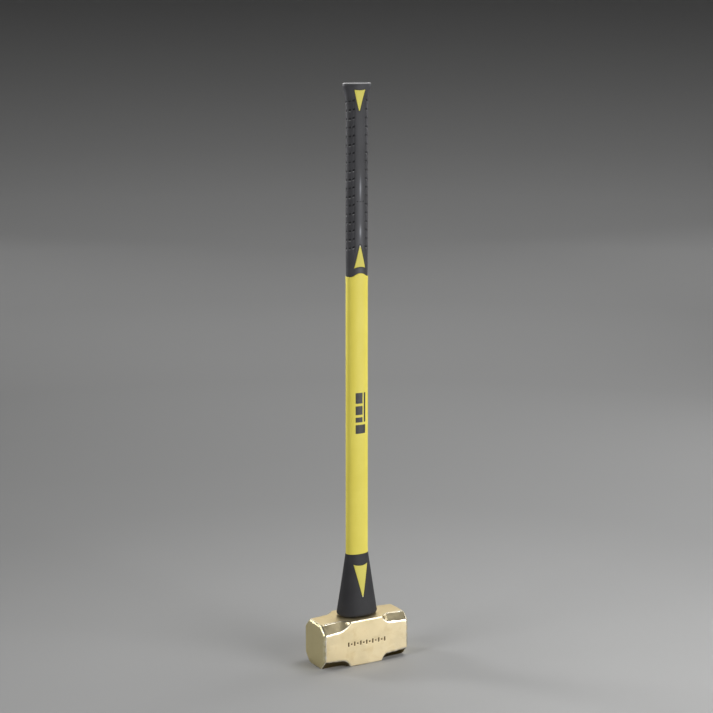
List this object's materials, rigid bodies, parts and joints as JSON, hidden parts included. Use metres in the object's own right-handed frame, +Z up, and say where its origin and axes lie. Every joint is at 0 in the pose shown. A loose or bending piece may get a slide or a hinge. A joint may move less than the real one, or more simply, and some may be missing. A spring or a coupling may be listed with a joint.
{
  "type": "sledgehammer",
  "caption": "Brass sledgehammer with a long yellow fibreglass-cored handle, black rubber grip and flared overstrike guard; it stands on its head.",
  "frame": {"origin": "middle of the underside of the head, on the handle's centre line", "axes": "+Z up the handle, X along the head between the striking faces, -Y the front cheek with the stamped marks"},
  "size_m": [0.155, 0.0644, 0.914],
  "materials": {
    "head_brass": "satin, belt ground",
    "bond_resin": "cast resin",
    "dam_rubber": "matte",
    "rod_fibreglass": "cut fibre ends",
    "jacket_yellow": "moulded, semi-gloss",
    "guard_rubber": "moulded, satin",
    "grip_rubber": "moulded, textured",
    "ink_black": "printed ink"
  },
  "bodies": {
    "root": {"head": "head_brass", "eye_epoxy": "bond_resin", "eye_dam": "dam_rubber", "core_rod": "rod_fibreglass", "handle_jacket": "jacket_yellow", "overstrike_guard": "guard_rubber", "grip": "grip_rubber", "printed_mark": "ink_black"}
  },
  "joints": []
}
